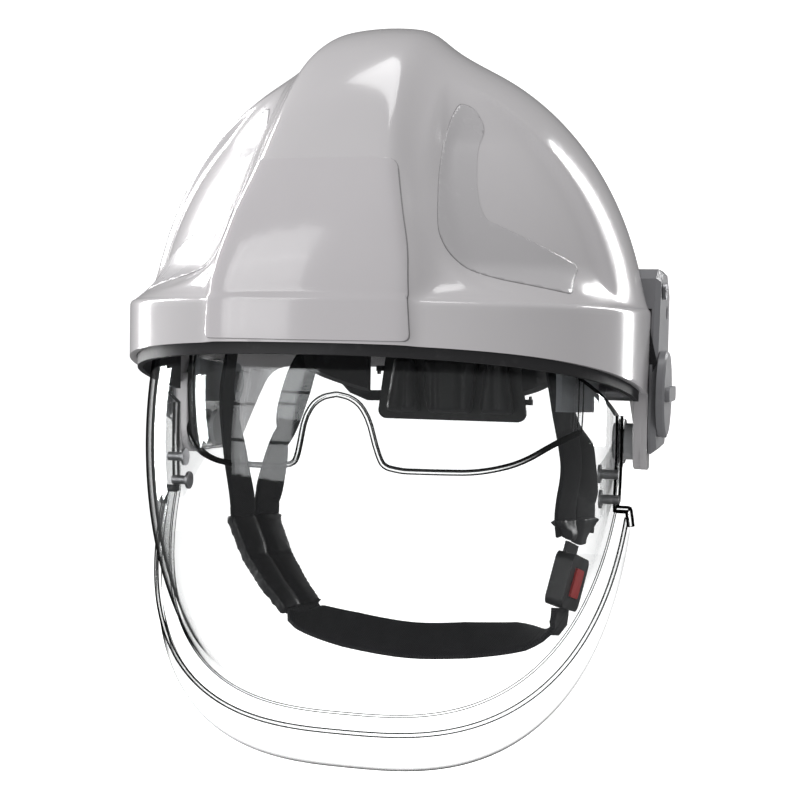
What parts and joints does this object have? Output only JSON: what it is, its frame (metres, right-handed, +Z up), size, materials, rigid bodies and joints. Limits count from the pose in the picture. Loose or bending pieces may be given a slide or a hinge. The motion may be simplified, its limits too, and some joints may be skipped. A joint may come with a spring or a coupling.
{
  "type": "jet style fire helmet",
  "caption": "Hard jet style fire helmet with a full face shield and an eye visor that swing up under the shell, padded harness, nape adjuster and chin strap.",
  "frame": {"origin": "middle of the head seat, on the level of the lower edge of the shell's brim", "axes": "+Z up, -Y the way the wearer looks, +X the wearer's left"},
  "size_m": [0.266, 0.3044, 0.3456],
  "materials": {
    "shell_white": "glossy painted shell",
    "panel_white": "glossy front plate",
    "film_grey": "pale reflective film",
    "seal_black": "matt dark trim",
    "shield_clear": "clear moulded shield",
    "arm_grey": "moulded arm",
    "pin_steel": "brushed",
    "pivot_grey": "light grey hub",
    "module_grey": "satin grey cover",
    "inset_black": "dark inset",
    "liner_foam": "moulded foam",
    "band_black": "flexible moulding",
    "pad_textile": "padded textile",
    "cradle_textile": "brownish textile",
    "webbing_black": "woven webbing",
    "button_red": "red moulding",
    "cover_black": "dark glossy plate"
  },
  "bodies": {
    "helmet": {"brim_seal": "seal_black", "brow_pad": "pad_textile", "buckle_body": "band_black", "buckle_tongue": "band_black", "cheek_pad_left": "pad_textile", "cheek_pad_right": "pad_textile", "chin_band": "webbing_black", "cradle_bands": "cradle_textile", "crown_pad": "pad_textile", "ear_cover_left": "cover_black", "ear_cover_right": "cover_black", "face_pivot_left": "pivot_grey", "face_pivot_right": "pivot_grey", "film_left": "film_grey", "film_right": "film_grey", "front_panel": "panel_white", "headband": "band_black", "headband_hangers": "band_black", "liner_front": "liner_foam", "liner_rear": "liner_foam", "module_inset_left": "inset_black", "module_inset_right": "inset_black", "module_screws": "pin_steel", "nape_arm_left": "band_black", "nape_arm_right": "band_black", "nape_carrier": "band_black", "nape_pad_left": "pad_textile", "nape_pad_middle": "pad_textile", "nape_pad_right": "pad_textile", "nape_wing_left": "band_black", "nape_wing_right": "band_black", "outer_shell": "shell_white", "pivot_cap_left": "pivot_grey", "pivot_cap_right": "pivot_grey", "ratchet_housing": "band_black", "side_module_left": "module_grey", "side_module_right": "module_grey", "strap_anchors": "band_black", "strap_front_left": "webbing_black", "strap_front_right": "webbing_black", "strap_rear_left": "webbing_black", "strap_rear_right": "webbing_black"},
    "face_shield_set": {"face_shield": "shield_clear", "shield_arm_left": "shield_clear", "shield_arm_right": "shield_clear", "shield_rivets": "pin_steel"},
    "ocular_set": {"ocular_lens": "shield_clear", "ocular_arm_left": "arm_grey", "ocular_arm_right": "arm_grey", "ocular_spindle_left": "pin_steel", "ocular_spindle_right": "pin_steel", "ocular_knob_left": "module_grey", "ocular_knob_right": "module_grey"},
    "turner": {"ratchet_knob": "band_black", "ratchet_pinion": "band_black"},
    "rack_right": {"strip_right": "band_black"},
    "rack_left": {"strip_left": "band_black"},
    "button": {"buckle_button": "button_red"}
  },
  "joints": [
    {"name": "shield_swing", "type": "hinge", "parent": "helmet", "child": "face_shield_set", "pos_m": [0, 0.02, -0.043], "axis": [-1, 0, 0], "range_deg": [0, 62]},
    {"name": "ocular_swing", "type": "hinge", "parent": "helmet", "child": "ocular_set", "pos_m": [0, 0.018, -0.019], "axis": [-1, 0, 0], "range_deg": [0, 38]},
    {"name": "nape_turn", "type": "hinge", "parent": "helmet", "child": "turner", "pos_m": [0, 0.118, -0.021], "axis": [0, 1, 0], "range_deg": [-100, 100]},
    {"name": "rack_slide_right", "type": "slide", "parent": "helmet", "child": "rack_right", "axis": [1, 0, 0], "range_m": [-0.011, 0.011]},
    {"name": "rack_slide_left", "type": "slide", "parent": "helmet", "child": "rack_left", "axis": [1, 0, 0], "range_m": [-0.011, 0.011]},
    {"name": "button_press", "type": "slide", "parent": "helmet", "child": "button", "axis": [-0.9703, 0.1851, 0.1559], "range_m": [0, 0.0025], "stiffness_N_per_m": 400}
  ],
  "couplings": [
    {"joint": "rack_slide_right", "follows": "nape_turn", "m_per_rad": 0.006},
    {"joint": "rack_slide_left", "follows": "nape_turn", "m_per_rad": -0.006}
  ]
}
